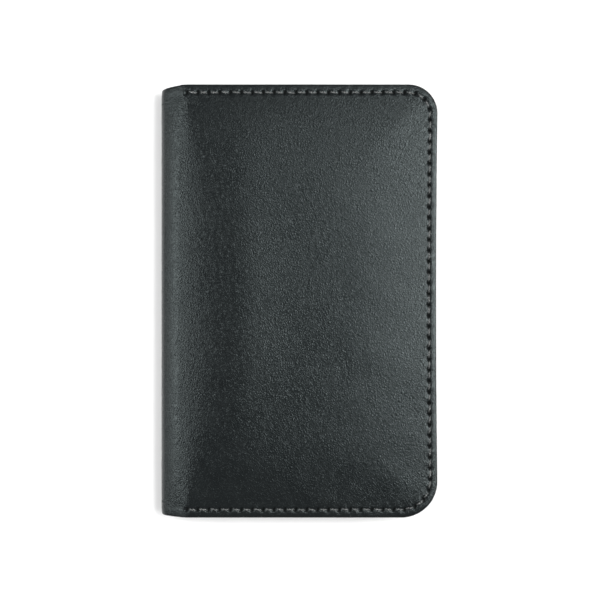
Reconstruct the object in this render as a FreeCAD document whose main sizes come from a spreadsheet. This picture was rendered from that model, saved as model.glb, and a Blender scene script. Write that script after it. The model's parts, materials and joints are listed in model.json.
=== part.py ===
"""Bifold wallet, closed: +X to the fore-edge, +Y to the top, +Z through the thickness.

The origin is the centre of the wallet's length and height, on the face it lies on. The back half lies
on z = 0 and the front half is folded over it. Between them the cover turns through 180 degrees in six
bends of 30 degrees, one at each end of the five spine strips. The folds lie on the leather's middle line.
"""

import FreeCAD, Part
import Sketcher
import math
import os

SIZES = {
    # whole wallet, closed
    "height": 150.0,
    "fore_edge": 48.1,
    "spine_edge": -48.1,
    "edge_dip": 0.5,
    "dip_radius": 4700.0,
    "corner_top": 10.0,
    "corner_bottom": 12.5,
    # leather
    "cover_thick": 1.8,
    "panel_thick": 1.2,
    "half_gap": 1.4,
    "edge_round": 0.4,
    # spine: strips 1 and 5 lean 60 degrees from the upright, strips 2 and 4 lean 30, and strip 3 stands
    "bend": 30.0,
    "strip_long": 3.8,
    "strip_short": 2.6,
    "fold_gap": 0.08,
    "strip_draw_in": 0.6,
    # pockets
    "panel_mouth": -38.6,
    "mouth_step": 14.0,
    "ticket_mouth_top": -8.0,
    "ticket_mouth_bottom": -24.0,
    "notch_radius": 8.5,
    "notch_height": 36.0,
    # seams
    "seam_inset": 2.9,
    "fore_inset": 2.5,
    "groove_width": 1.2,
    "groove_depth": 0.66,
    "stitch_pitch": 3.75,
    "stitch_run": 3.0,
    "thread_radius": 0.3,
    "thread_clear": 0.03,
}

DERIVED = {
    "stack": "=2 * cover_thick + 6 * panel_thick + half_gap",
    "long_run": "=strip_long * cos(bend * 1deg)",
    "long_rise": "=strip_long * sin(bend * 1deg)",
    "short_run": "=strip_short * cos(2 * bend * 1deg)",
    "short_rise": "=strip_short * sin(2 * bend * 1deg)",
    "strip_middle": "=stack - cover_thick - 2 * long_rise - 2 * short_rise",
    "fold_outer": "=spine_edge + cover_thick / 2",
    "fold_mid": "=fold_outer + short_run",
    "fold_inner": "=fold_mid + long_run",
    "fold_1_z": "=cover_thick / 2",
    "fold_2_z": "=fold_1_z + long_rise",
    "fold_3_z": "=fold_2_z + short_rise",
    "fold_4_z": "=fold_3_z + strip_middle",
    "fold_5_z": "=fold_4_z + short_rise",
    "fold_6_z": "=fold_5_z + long_rise",
    "notebook_z": "=cover_thick",
    "ticket_z": "=notebook_z + panel_thick",
    "card_3_z": "=ticket_z + panel_thick + half_gap",
    "card_2_z": "=card_3_z + panel_thick",
    "card_1_z": "=card_2_z + panel_thick",
    "slip_z": "=card_1_z + panel_thick",
    "front_cover_z": "=slip_z + panel_thick",
    "card_mouth_1": "=panel_mouth + mouth_step",
    "card_mouth_2": "=panel_mouth + 2 * mouth_step",
    "card_mouth_3": "=panel_mouth + 3 * mouth_step",
}

FOLD_X = ("fold_inner", "fold_mid", "fold_outer", "fold_outer", "fold_mid", "fold_inner")
STRIP_LENGTHS = ("strip_long", "strip_short", "strip_middle", "strip_short", "strip_long")
MIDDLE_STRIP = 3

# where a corner's arc ends before the sketch is solved, and how near counts as the same place
ARC_END_GUESS = 0.02
SAME_HEIGHT = 1e-4
LEAST_CUT = 0.1

FULL_PANELS = (("back_notebook_panel", "notebook_z"), ("front_slip_panel", "slip_z"))
CARD_PANELS = (1, 2, 3)


def bound(words):
    """An expression on the sheet's cells, from one that names only the cells."""
    names = sorted(list(SIZES) + list(DERIVED), key=len, reverse=True)
    out, at = "", 0
    while at < len(words):
        name = next((n for n in names if words.startswith(n, at)), None)
        out += "sheet." + name if name else words[at]
        at += len(name) if name else 1
    return out


def make_sheet(doc):
    """The spreadsheet of driving and derived sizes, one alias to a row."""
    sheet = doc.addObject("Spreadsheet::Sheet", "sheet")
    cells = SIZES | DERIVED
    for row, alias in enumerate(cells, start=1):
        sheet.set(f"A{row}", alias)
        sheet.setAlias(f"B{row}", alias)
    for row, value in enumerate(cells.values(), start=1):
        sheet.set(f"B{row}", str(value))
    doc.recompute()
    return sheet


def new_body(doc, label, height="0"):
    """An empty body with its own label, lying at a height above the table."""
    body = doc.addObject("PartDesign::Body", label)
    body.Label = label
    body.setExpression("Placement.Base.z", bound(height))
    return body


def new_sketch(body, name, plane):
    """A sketch on one of the body's own origin planes."""
    sketch = body.newObject("Sketcher::SketchObject", name)
    flat = next(o for o in body.Origin.OriginFeatures if o.Role == plane)
    sketch.AttachmentSupport = [(flat, "")]
    sketch.MapMode = "FlatFace"
    return sketch


def number(sketch, words):
    """The value of an expression on the sheet's cells."""
    value = sketch.evalExpression(bound(words))
    return float(getattr(value, "Value", value))


def size(sketch, kind, *ends, to):
    """A dimension of the sketch, bound to an expression on the sheet."""
    index = sketch.addConstraint(Sketcher.Constraint(kind, *ends, number(sketch, to)))
    sketch.setExpression(f"Constraints[{index}]", bound(to))


def edge_run(sketch, top_mouth, bottom_mouth, inset="0", fore_inset="0"):
    """The line along the top, round the fore-edge and back along the bottom, at an inset from the edge.

    Returns the sketch's indices of the top line and the bottom line.
    """
    top = number(sketch, f"height / 2 - ({inset})")
    fore = number(sketch, f"fore_edge - edge_dip - ({fore_inset})")
    far = number(sketch, f"dip_radius + ({fore_inset})")
    r_top = number(sketch, f"corner_top - ({inset})")
    r_low = number(sketch, f"corner_bottom - ({inset})")
    x_top, x_low = number(sketch, top_mouth), number(sketch, bottom_mouth)
    v, z = FreeCAD.Vector, FreeCAD.Vector(0, 0, 1)
    dip_top = math.asin((top - r_top) / far)
    dip_low = math.asin((top - r_low) / far)
    line_top = sketch.addGeometry(Part.LineSegment(v(x_top, top, 0), v(fore - r_top, top, 0)))
    corner_1 = Part.Circle(v(fore - r_top, top - r_top, 0), z, r_top)
    arc_1 = sketch.addGeometry(Part.ArcOfCircle(corner_1, ARC_END_GUESS, math.pi / 2))
    dip = Part.Circle(v(fore + far, 0, 0), z, far)
    arc_f = sketch.addGeometry(Part.ArcOfCircle(dip, math.pi - dip_top, math.pi + dip_low))
    corner_2 = Part.Circle(v(fore - r_low, -top + r_low, 0), z, r_low)
    arc_2 = sketch.addGeometry(Part.ArcOfCircle(corner_2, -math.pi / 2, -ARC_END_GUESS))
    line_low = sketch.addGeometry(Part.LineSegment(v(fore - r_low, -top, 0), v(x_low, -top, 0)))
    sketch.addConstraint(
        [
            Sketcher.Constraint("Tangent", line_top, 2, arc_1, 2),
            Sketcher.Constraint("Tangent", arc_1, 1, arc_f, 1),
            Sketcher.Constraint("Tangent", arc_f, 2, arc_2, 2),
            Sketcher.Constraint("Tangent", arc_2, 1, line_low, 1),
            Sketcher.Constraint("Horizontal", line_top),
            Sketcher.Constraint("Horizontal", line_low),
            Sketcher.Constraint("PointOnObject", arc_f, 3, -1),
        ]
    )
    size(sketch, "DistanceY", -1, 1, line_top, 1, to=f"height / 2 - ({inset})")
    size(sketch, "DistanceY", line_low, 2, -1, 1, to=f"height / 2 - ({inset})")
    size(sketch, "DistanceX", line_top, 1, -1, 1, to=f"-({top_mouth})")
    size(sketch, "DistanceX", line_low, 2, -1, 1, to=f"-({bottom_mouth})")
    size(sketch, "Radius", arc_1, to=f"corner_top - ({inset})")
    size(sketch, "Radius", arc_2, to=f"corner_bottom - ({inset})")
    size(sketch, "Radius", arc_f, to=f"dip_radius + ({fore_inset})")
    size(sketch, "DistanceX", -1, 1, arc_f, 3, to="fore_edge - edge_dip + dip_radius")
    return line_top, line_low


def close_ends(sketch, first, first_end, second, second_end):
    """A straight line between two open ends of runs."""
    a = sketch.getPoint(first, first_end)
    b = sketch.getPoint(second, second_end)
    line = sketch.addGeometry(Part.LineSegment(a, b))
    sketch.addConstraint(Sketcher.Constraint("Coincident", line, 1, first, first_end))
    sketch.addConstraint(Sketcher.Constraint("Coincident", line, 2, second, second_end))


def closed_outline(sketch, corners):
    """Straight sides from corner to corner, joined at their ends."""
    count = len(corners)
    for i in range(count):
        start = FreeCAD.Vector(*corners[i], 0)
        end = FreeCAD.Vector(*corners[(i + 1) % count], 0)
        sketch.addGeometry(Part.LineSegment(start, end))
    for i in range(count):
        sketch.addConstraint(Sketcher.Constraint("Coincident", i, 2, (i + 1) % count, 1))


def pad(body, sketch, thick, midplane=False):
    """Pads a sketch by a length on the sheet."""
    feature = body.newObject("PartDesign::Pad", sketch.Name + "_pad")
    feature.Profile = sketch
    feature.Midplane = midplane
    feature.setExpression("Length", bound(thick))
    sketch.Document.recompute()
    return feature


def pocket(body, sketch, deep, cut_up, midplane=False):
    """Cuts a sketch out by a length on the sheet, and makes sure that it cut something."""
    before = body.Shape.Volume
    feature = body.newObject("PartDesign::Pocket", sketch.Name + "_cut")
    feature.Profile = sketch
    feature.Midplane = midplane
    feature.Reversed = cut_up
    feature.setExpression("Length", bound(deep))
    sketch.Document.recompute()
    if body.Shape.Volume > before - LEAST_CUT:
        raise RuntimeError(f"{feature.Name} cuts nothing")
    return feature


def round_edges(body, face_z, beyond_x, name):
    """Rounds the edges of one flat face, except the one at its spine end."""
    base = body.Tip
    edges = [
        f"Edge{i}"
        for i, edge in enumerate(base.Shape.Edges, start=1)
        if all(abs(vertex.Z - face_z) < SAME_HEIGHT for vertex in edge.Vertexes)
        and max(vertex.X for vertex in edge.Vertexes) > beyond_x
    ]
    fillet = body.newObject("PartDesign::Fillet", name)
    fillet.Base = (base, edges)
    fillet.setExpression("Radius", "sheet.edge_round")
    body.Document.recompute()


def make_cover(doc, sheet, label, height, outer_up):
    """One side of the outer cover: its plate, the fold's mitre, the seam groove and the rounded edge."""
    body = new_body(doc, label, height)
    outline = new_sketch(body, label + "_outline", "XY_Plane")
    mouth = "fold_inner + fold_gap"
    top, low = edge_run(outline, mouth, mouth)
    close_ends(outline, top, 1, low, 2)
    pad(body, outline, "cover_thick")

    mitre = new_sketch(body, label + "_mitre", "XZ_Plane")
    inner_face = 0.0 if outer_up else sheet.cover_thick
    add_mitre(mitre, sheet, inner_face)
    pocket(body, mitre, "2 * height", cut_up=False, midplane=True)

    outer_face = sheet.cover_thick if outer_up else 0.0
    round_edges(body, outer_face, sheet.panel_mouth, label + "_edge")

    groove = new_sketch(body, label + "_groove", "XY_Plane")
    start = "panel_mouth - groove_width"
    wide = "seam_inset - groove_width / 2", "fore_inset - groove_width / 2"
    slim = "seam_inset + groove_width / 2", "fore_inset + groove_width / 2"
    top_1, low_1 = edge_run(groove, start, start, *wide)
    top_2, low_2 = edge_run(groove, start, start, *slim)
    close_ends(groove, top_1, 1, top_2, 1)
    close_ends(groove, low_1, 2, low_2, 2)
    if outer_up:
        groove.setExpression("AttachmentOffset.Base.z", "sheet.cover_thick")
    pocket(body, groove, "groove_depth", cut_up=not outer_up)
    return body


def add_mitre(sketch, sheet, inner_face):
    """The triangle that is cut off the inner half of a plate's spine end, in the XZ plane."""
    half_bend = math.radians(sheet.bend / 2)
    x0 = sheet.fold_inner + sheet.fold_gap
    middle = sheet.cover_thick / 2
    x1 = x0 + middle * math.tan(half_bend)
    closed_outline(sketch, [(x0, middle), (x0, inner_face), (x1, inner_face)])
    sketch.addConstraint(Sketcher.Constraint("Vertical", 0))
    sketch.addConstraint(Sketcher.Constraint("Horizontal", 1))
    size(sketch, "DistanceX", 0, 1, -1, 1, to="-(fold_inner + fold_gap)")
    size(sketch, "DistanceY", -1, 1, 0, 1, to="cover_thick / 2")
    if inner_face > 0:
        size(sketch, "DistanceY", -1, 1, 0, 2, to="cover_thick")
    else:
        sketch.addConstraint(Sketcher.Constraint("PointOnObject", 0, 2, -1))
    run = "cover_thick / 2 * tan(bend * 1deg / 2)"
    size(sketch, "DistanceX", 1, 1, 1, 2, to=run)


def make_strip(doc, sheet, place):
    """A strip of the spine: a six-sided bar whose inner half is mitred at both folds.

    Its section is drawn upright, with the outer face towards -X, and the body leans by its bends.
    """
    label = f"spine_strip_{place}"
    long = STRIP_LENGTHS[place - 1]
    body = new_body(doc, label, f"(fold_{place}_z + fold_{place + 1}_z) / 2")
    body.setExpression("Placement.Base.x", bound(f"({FOLD_X[place - 1]} + {FOLD_X[place]}) / 2"))
    body.setExpression("Placement.Rotation.Axis.x", "0")
    body.setExpression("Placement.Rotation.Axis.y", "1")
    body.setExpression("Placement.Rotation.Axis.z", "0")
    body.setExpression("Placement.Rotation.Angle", bound(f"{place - MIDDLE_STRIP} * bend"))
    section = new_sketch(body, label + "_section", "XZ_Plane")
    half = sheet.cover_thick / 2
    tall = getattr(sheet, long) / 2 - sheet.fold_gap
    short = tall - half * math.tan(math.radians(sheet.bend / 2))
    corners = [(-half, -tall), (0, -tall), (half, -short), (half, short), (0, tall), (-half, tall)]
    closed_outline(section, corners)
    for i in (0, 4):
        section.addConstraint(Sketcher.Constraint("Horizontal", i))
    section.addConstraint(Sketcher.Constraint("Vertical", 2))
    section.addConstraint(Sketcher.Constraint("PointOnObject", 0, 2, -2))
    section.addConstraint(Sketcher.Constraint("PointOnObject", 4, 1, -2))
    section.addConstraint(Sketcher.Constraint("Symmetric", 0, 1, 5, 1, -1))
    size(section, "DistanceX", 0, 1, -1, 1, to="cover_thick / 2")
    size(section, "DistanceX", -1, 1, 2, 1, to="cover_thick / 2")
    size(section, "DistanceY", 0, 1, -1, 1, to=f"{long} / 2 - fold_gap")
    mitred = f"{long} / 2 - fold_gap - cover_thick / 2 * tan(bend * 1deg / 2)"
    size(section, "DistanceY", 2, 1, -1, 1, to=mitred)
    size(section, "DistanceY", -1, 1, 2, 2, to=mitred)
    pad(body, section, "height - 2 * strip_draw_in", midplane=True)
    return body


def make_panel(doc, sheet, label, height, top_mouth, bottom_mouth):
    """An inner panel: flush with the cover on three sides, and open at its mouth."""
    body = new_body(doc, label, height)
    outline = new_sketch(body, label + "_outline", "XY_Plane")
    top, low = edge_run(outline, top_mouth, bottom_mouth)
    close_ends(outline, top, 1, low, 2)
    pad(body, outline, "panel_thick")
    return body


def cut_notches(body, sheet, mouth):
    """Two thumb notches in a card panel's mouth, one to a column."""
    notches = new_sketch(body, body.Name + "_notches", "XY_Plane")
    for i, side in enumerate((1, -1)):
        centre = FreeCAD.Vector(getattr(sheet, mouth), side * sheet.notch_height, 0)
        notches.addGeometry(Part.Circle(centre, FreeCAD.Vector(0, 0, 1), sheet.notch_radius))
        size(notches, "Radius", i, to="notch_radius")
        ends = (-1, 1, i, 3) if side > 0 else (i, 3, -1, 1)
        size(notches, "DistanceY", *ends, to="notch_height")
        size(notches, "DistanceX", i, 3, -1, 1, to=f"-({mouth})")
    pocket(body, notches, "panel_thick", cut_up=True)


def seam_line(body, sheet):
    """The seam's own line, which the stitches follow, as a wire."""
    line = new_sketch(body, "seam_line", "XY_Plane")
    edge_run(line, "panel_mouth", "panel_mouth", "seam_inset", "fore_inset")
    body.Document.recompute()
    wire = Part.Wire(Part.sortEdges(line.Shape.Edges)[0])
    start = FreeCAD.Vector(sheet.panel_mouth, sheet.height / 2 - sheet.seam_inset, 0)
    points = wire.discretize(Number=round(wire.Length / sheet.stitch_pitch) + 1)
    return points if points[0].distanceToPoint(start) < sheet.stitch_pitch else points[::-1]


def stitch(start, end, height, sheet):
    """One stitch: a round thread between two holes, with a gap at each end of it."""
    along = end - start
    along.z = 0
    gap = (along.Length - sheet.stitch_run) / 2
    along.normalize()
    foot = FreeCAD.Vector(start.x, start.y, height) + along * gap
    return Part.makeCylinder(sheet.thread_radius, sheet.stitch_run, foot, along)


def inner_face_at(x, y, steps, sheet):
    """The height of the innermost panel's face over a point, from the panels' mouths."""
    share = y / sheet.height + 0.5
    height = steps[0][2]
    for mouth_top, mouth_low, face in steps:
        if x > mouth_low + (mouth_top - mouth_low) * share:
            height = face
    return height


def make_seam(doc, sheet, label, points, outer_axis, steps, inward):
    """The stitches of one half: a row in the outer groove, and a row on the innermost panels."""
    rows = []
    lift = inward * (sheet.thread_radius + sheet.thread_clear)
    for start, end in zip(points, points[1:]):
        rows.append(stitch(start, end, outer_axis, sheet))
        faces = [inner_face_at(point.x, point.y, steps, sheet) for point in (start, end)]
        face = max(faces) if inward > 0 else min(faces)
        rows.append(stitch(start, end, face + lift, sheet))
    seam = doc.addObject("Part::Feature", label)
    seam.Label = label
    seam.Shape = Part.makeCompound(rows)
    seam.Placement = FreeCAD.Placement()
    return seam


def make_divider(doc, sheet, steps):
    """The row across the card panels, which parts the pockets in two columns."""
    lift = sheet.thread_radius + sheet.thread_clear
    first = sheet.card_mouth_1 + sheet.stitch_pitch
    last = sheet.fore_edge - sheet.edge_dip - sheet.fore_inset - sheet.stitch_pitch
    count = int((last - first) / sheet.stitch_pitch)
    rows = []
    for i in range(count):
        start = FreeCAD.Vector(first + i * sheet.stitch_pitch, 0, 0)
        end = start + FreeCAD.Vector(sheet.stitch_pitch, 0, 0)
        face = inner_face_at(end.x, 0, steps, sheet)
        rows.append(stitch(start, end, face - lift, sheet))
    divider = doc.addObject("Part::Feature", "divider_thread")
    divider.Label = "divider_thread"
    divider.Shape = Part.makeCompound(rows)
    divider.Placement = FreeCAD.Placement()
    return divider


def make_leather(doc, sheet):
    """The outer cover's pieces, from the back round the spine to the front, and the inner panels."""
    back = make_cover(doc, sheet, "back_cover", "0", outer_up=False)
    strips = [make_strip(doc, sheet, place) for place in range(1, len(STRIP_LENGTHS) + 1)]
    front = make_cover(doc, sheet, "front_cover", "front_cover_z", outer_up=True)
    panels = [
        make_panel(doc, sheet, label, height, "panel_mouth", "panel_mouth")
        for label, height in FULL_PANELS
    ]
    ticket = ("back_ticket_panel", "ticket_z", "ticket_mouth_top", "ticket_mouth_bottom")
    panels.append(make_panel(doc, sheet, *ticket))
    for i in CARD_PANELS:
        mouth = f"card_mouth_{i}"
        panel = make_panel(doc, sheet, f"front_card_panel_{i}", f"card_{i}_z", mouth, mouth)
        cut_notches(panel, sheet, mouth)
        panels.append(panel)
    return [back, *strips, front, *panels], front


def panel_steps(sheet):
    """For each half, where each panel's mouth starts at the top and the bottom, and its face's height."""
    front = [(sheet.panel_mouth, sheet.panel_mouth, sheet.slip_z)]
    for i in CARD_PANELS:
        mouth = getattr(sheet, f"card_mouth_{i}")
        front.append((mouth, mouth, getattr(sheet, f"card_{i}_z")))
    back = [
        (sheet.panel_mouth, sheet.panel_mouth, sheet.notebook_z + sheet.panel_thick),
        (sheet.ticket_mouth_top, sheet.ticket_mouth_bottom, sheet.ticket_z + sheet.panel_thick),
    ]
    return front, back


def build():
    """The whole wallet, as the list of its sub-parts."""
    doc = FreeCAD.newDocument("wallet")
    sheet = make_sheet(doc)
    parts, front_cover = make_leather(doc, sheet)
    front, back = panel_steps(sheet)
    points = seam_line(front_cover, sheet)
    sunk = sheet.groove_depth - sheet.thread_radius - sheet.thread_clear
    parts.append(make_seam(doc, sheet, "front_seam_thread", points, sheet.stack - sunk, front, -1))
    parts.append(make_seam(doc, sheet, "back_seam_thread", points, sunk, back, 1))
    parts.append(make_divider(doc, sheet, front))
    doc.recompute()
    return doc, parts


def write(doc, parts):
    """Checks every object and sub-part, then writes each sub-part's STEP file."""
    for thing in doc.Objects:
        if "Invalid" in thing.State or "Error" in thing.State:
            raise RuntimeError(f"{thing.Label} failed: {thing.State}")
    for part in parts:
        if part.Shape.isNull() or not part.Shape.isValid():
            raise RuntimeError(f"{part.Label} has no valid shape")
    os.makedirs("parts", exist_ok=True)
    for part in parts:
        part.Shape.exportStep(f"parts/{part.Label}.step")
        box = part.Shape.BoundBox
        print(
            f"{part.Label}: {len(part.Shape.Solids)} solids, {part.Shape.Volume:.1f} mm3,"
            f" x {box.XMin:.2f} {box.XMax:.2f}, y {box.YMin:.2f} {box.YMax:.2f}, z {box.ZMin:.2f} {box.ZMax:.2f}"
        )


write(*build())
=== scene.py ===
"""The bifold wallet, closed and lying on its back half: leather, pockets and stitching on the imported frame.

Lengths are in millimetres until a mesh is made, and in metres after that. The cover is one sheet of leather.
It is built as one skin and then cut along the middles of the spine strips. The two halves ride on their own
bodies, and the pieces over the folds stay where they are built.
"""

import json
import math

import bpy
import numpy as np
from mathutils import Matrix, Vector


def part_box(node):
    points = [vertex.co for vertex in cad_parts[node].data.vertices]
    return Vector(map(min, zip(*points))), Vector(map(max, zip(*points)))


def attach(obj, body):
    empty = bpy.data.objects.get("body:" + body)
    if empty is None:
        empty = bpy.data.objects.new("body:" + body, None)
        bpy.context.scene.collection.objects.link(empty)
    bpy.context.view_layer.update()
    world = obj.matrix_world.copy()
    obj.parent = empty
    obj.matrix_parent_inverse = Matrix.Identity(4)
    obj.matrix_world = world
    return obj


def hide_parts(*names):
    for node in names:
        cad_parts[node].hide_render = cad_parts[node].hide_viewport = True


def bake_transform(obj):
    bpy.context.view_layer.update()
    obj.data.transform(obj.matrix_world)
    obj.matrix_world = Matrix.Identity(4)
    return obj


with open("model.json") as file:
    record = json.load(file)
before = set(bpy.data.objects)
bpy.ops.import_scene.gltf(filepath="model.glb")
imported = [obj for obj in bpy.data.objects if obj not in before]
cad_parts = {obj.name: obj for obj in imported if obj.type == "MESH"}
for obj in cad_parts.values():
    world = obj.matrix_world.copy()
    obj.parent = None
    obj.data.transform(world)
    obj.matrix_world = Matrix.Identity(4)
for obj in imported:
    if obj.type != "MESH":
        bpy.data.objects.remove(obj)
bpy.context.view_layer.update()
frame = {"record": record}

MM = 0.001
SEED = 20


def box_mm(node):
    """Lowest and highest corner of a CAD node, in millimetres."""
    low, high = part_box(node)
    return np.array(low) / MM, np.array(high) / MM


# ---------------- sizes from the frame

FRONT_HIGH = box_mm("front_cover")[1]
HALF_HEIGHT = FRONT_HIGH[1]
STACK = FRONT_HIGH[2]
COVER_THICK = box_mm("back_cover")[1][2]
PANEL_MOUTH = box_mm("front_slip_panel")[0][0]
SPINE_X = box_mm("spine_strip_3")[0][0]
CARD_MOUTHS = [box_mm(f"front_card_panel_{i}")[0][0] for i in (1, 2, 3)]
FOLDS = np.array([joint["pos_m"] for joint in frame["record"]["behaviour"]["joints"]]) / MM
FOLDS = FOLDS[:, [0, 2]]

# outline of a half, as the CAD has it
CORNER_TOP = 10.0
CORNER_BOTTOM = 12.5
FORE_EDGE_MIDDLE = 47.6
DIP_RADIUS = 4700.0
DIP_X = FORE_EDGE_MIDDLE + DIP_RADIUS
SEAM_INSET = 2.9
SEAM_FORE = 2.5
STITCHES = 81
# points along the seam: how many to a stitch, and how far they crowd at its holes
STITCH_STEPS = 10
HOLE_CROWDING = 0.6


# ---------------- the run along three edges

def fore_inset(inset):
    """The inset at the fore-edge that goes with an inset at the top and bottom."""
    return np.where(inset < SEAM_INSET, inset * SEAM_FORE / SEAM_INSET, inset - SEAM_INSET + SEAM_FORE)


def run_facts(inset, fore):
    """Radii, centres and tangent angles of the two corners, at an inset."""
    r = (CORNER_TOP - inset, CORNER_BOTTOM - inset)
    y = (HALF_HEIGHT - CORNER_TOP, CORNER_BOTTOM - HALF_HEIGHT)
    far = DIP_RADIUS + fore
    x = [DIP_X - math.sqrt((far + r[i]) ** 2 - y[i] ** 2) for i in (0, 1)]
    turn = [math.asin(abs(y[i]) / (far + r[i])) for i in (0, 1)]
    return r, x, y, far, turn


def run_points(segment, share, inset, start_top, start_low, fore=None):
    """Points on the run at an inset: top line, corner, fore-edge, corner and bottom line."""
    fore = float(fore_inset(inset)) if fore is None else fore
    r, x, y, far, turn = run_facts(inset, fore)
    quarter = math.pi / 2
    angle_1 = quarter - (quarter + turn[0]) * share
    angle_2 = math.pi - turn[0] + (turn[0] + turn[1]) * share
    angle_3 = turn[1] - (quarter + turn[1]) * share
    choices_x = [
        start_top + (x[0] - start_top) * share,
        x[0] + r[0] * np.cos(angle_1),
        DIP_X + far * np.cos(angle_2),
        x[1] + r[1] * np.cos(angle_3),
        x[1] + (start_low - x[1]) * share,
    ]
    choices_y = [
        np.full_like(share, HALF_HEIGHT - inset),
        y[0] + r[0] * np.sin(angle_1),
        far * np.sin(angle_2),
        y[1] + r[1] * np.sin(angle_3),
        np.full_like(share, inset - HALF_HEIGHT),
    ]
    return np.stack([np.choose(segment, choices_x), np.choose(segment, choices_y)], -1)


def seam_places(distance, start):
    """The run's segment and share for distances along the seam, from its first hole."""
    r, x, _, far, turn = run_facts(SEAM_INSET, SEAM_FORE)
    quarter = math.pi / 2
    lengths = [x[0] - start, r[0] * (quarter + turn[0]), far * (turn[0] + turn[1])]
    lengths += [r[1] * (quarter + turn[1]), x[1] - start]
    ends = np.concatenate([[0], np.cumsum(lengths)])
    segment = np.clip(np.searchsorted(ends, distance, side="right") - 1, 0, 4)
    share = (distance - ends[segment]) / np.array(lengths)[segment]
    return segment, share, ends[-1]


def seam_points(distance):
    """Points on the seam line at distances from its first hole."""
    segment, share, _ = seam_places(distance, PANEL_MOUTH)
    return run_points(segment, share, SEAM_INSET, PANEL_MOUTH, PANEL_MOUTH)


SEAM_LENGTH = seam_places(np.zeros(1), PANEL_MOUTH)[2]
PITCH = SEAM_LENGTH / STITCHES


# ---------------- mesh building

class Skin:
    """Points and faces of a piece in the making, with what its material reads from each point."""

    def __init__(self):
        self.points, self.skin, self.wear_and_shade = [], [], []
        self.quads, self.count = [], 0

    def add(self, points, skin, wear_and_shade):
        """Adds points of any shape (..., 3) and returns their numbers in that shape."""
        shape = points.shape[:-1]
        total = int(np.prod(shape))
        for store, values in ((self.points, points), (self.skin, skin), (self.wear_and_shade, wear_and_shade)):
            store.append(np.broadcast_to(values, points.shape).reshape(-1, 3).astype(float))
        numbers = np.arange(self.count, self.count + total).reshape(shape)
        self.count += total
        return numbers

    def face(self, a, b, c, d):
        """Adds quads from four arrays of corners; d may repeat c for triangles."""
        self.quads.append(np.stack([a, b, c, d], -1).reshape(-1, 4))

    def grid(self, numbers, closed=False):
        """Adds the quads of a grid of points, joined round its second side where it is closed."""
        if closed:
            numbers = np.concatenate([numbers, numbers[:, :1]], 1)
        self.face(numbers[:-1, :-1], numbers[:-1, 1:], numbers[1:, 1:], numbers[1:, :-1])

    def turn_over(self, start):
        """Turns over all faces from a group onwards."""
        for i in range(start, len(self.quads)):
            self.quads[i] = flip(self.quads[i])

    def arrays(self):
        """All points, skin coordinates, wear and painted shade, and quads as arrays."""
        return (
            np.concatenate(self.points),
            np.concatenate(self.skin),
            np.concatenate(self.wear_and_shade),
            np.concatenate(self.quads),
        )


def stacked(shape, *values):
    """Vectors from three values or arrays, in a given shape."""
    return np.stack([np.broadcast_to(value, shape) for value in values], -1)


def flip(quads):
    """The same faces, turned over."""
    triangle = quads[:, 2] == quads[:, 3]
    turned = quads[:, ::-1].copy()
    turned[triangle] = quads[triangle][:, [1, 0, 2, 2]]
    return turned


def point_normals(points, quads):
    """Area-weighted normals of the points of a smooth skin."""
    normals = np.zeros_like(points)
    a, b, c, d = (points[quads[:, i]] for i in range(4))
    facing = np.cross(c - a, d - b)
    triangle = quads[:, 2] == quads[:, 3]
    facing[triangle] = np.cross(b[triangle] - a[triangle], c[triangle] - a[triangle])
    for i in range(4):
        np.add.at(normals, quads[:, i], facing)
    length = np.linalg.norm(normals, axis=1, keepdims=True)
    return normals / np.maximum(length, 1e-12)


def add_object(name, data):
    """A new object in the scene, for a mesh, light or camera."""
    thing = bpy.data.objects.new(name, data)
    bpy.context.scene.collection.objects.link(thing)
    return thing


def make_object(name, points, quads, skin, wear_and_shade, normals=None, caps=()):
    """A mesh object in metres, from millimetre arrays; caps are loops that close its open ends."""
    faces = [q[:3] if q[2] == q[3] else q for q in quads.tolist()] + [list(cap) for cap in caps]
    mesh = bpy.data.meshes.new(name)
    mesh.from_pydata((points * MM).tolist(), [], faces)
    mesh.update()
    mesh.polygons.foreach_set("use_smooth", [True] * len(mesh.polygons))
    for key, values in (("skin", skin), ("wear_and_shade", wear_and_shade)):
        attribute = mesh.attributes.new(key, "FLOAT_VECTOR", "POINT")
        attribute.data.foreach_set("vector", values.astype(np.float32).ravel())
    if caps:
        flat = mesh.attributes.new("sharp_edge", "BOOLEAN", "EDGE")
        for polygon in list(mesh.polygons)[len(quads):]:
            polygon.use_smooth = False
            for corner in polygon.loop_indices:
                flat.data[mesh.loops[corner].edge_index].value = True
    if normals is not None:
        corner = np.zeros(len(mesh.loops), int)
        mesh.loops.foreach_get("vertex_index", corner)
        loop_normals = normals[corner]
        for polygon in list(mesh.polygons)[len(quads):]:
            loop_normals[polygon.loop_start:polygon.loop_start + polygon.loop_total] = polygon.normal
        mesh.normals_split_custom_set(loop_normals.tolist())
    return add_object(name, mesh)


def patch(top, right, low, left):
    """A grid of points between four sides; top and low run along +X, and left and right downwards."""
    u = np.linspace(0, 1, len(top))[None, :, None]
    v = np.linspace(0, 1, len(left))[:, None, None]
    sides = (1 - v) * top[None] + v * low[None] + (1 - u) * left[:, None] + u * right[:, None]
    corners = (1 - u) * (1 - v) * top[0] + u * (1 - v) * top[-1] + (1 - u) * v * low[0] + u * v * low[-1]
    return sides - corners


def smooth_step(t):
    """0 before 0, 1 after 1, and smooth between."""
    t = np.clip(t, 0, 1)
    return t * t * (3 - 2 * t)


# ---------------- shape of the cover's outer face

# the swell over the pockets: its height, where it starts inside the edge and where it thins out
CROWN = 1.15
CROWN_START = 3.6
CROWN_RISE = 26.0
CROWN_POWER = 2.2
CROWN_TOP_X = -20.0
CROWN_END_X = 44.0
CROWN_FORE = 0.5
CROWN_FORE_POWER = 1.3
# the soft ridge along the edge of what the pockets hold
RIDGE_RISE = 0.55
RIDGE_X = -20.5
RIDGE_HALF = 11.0
# the fall towards the spine, half-way up and at the top and bottom
FALL_START_MIDDLE = -27.0
FALL_START_ENDS = -37.6
FALL_MIDDLE = 1.25
FALL_ENDS = 0.62
FALL_FREE = 0.45
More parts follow.
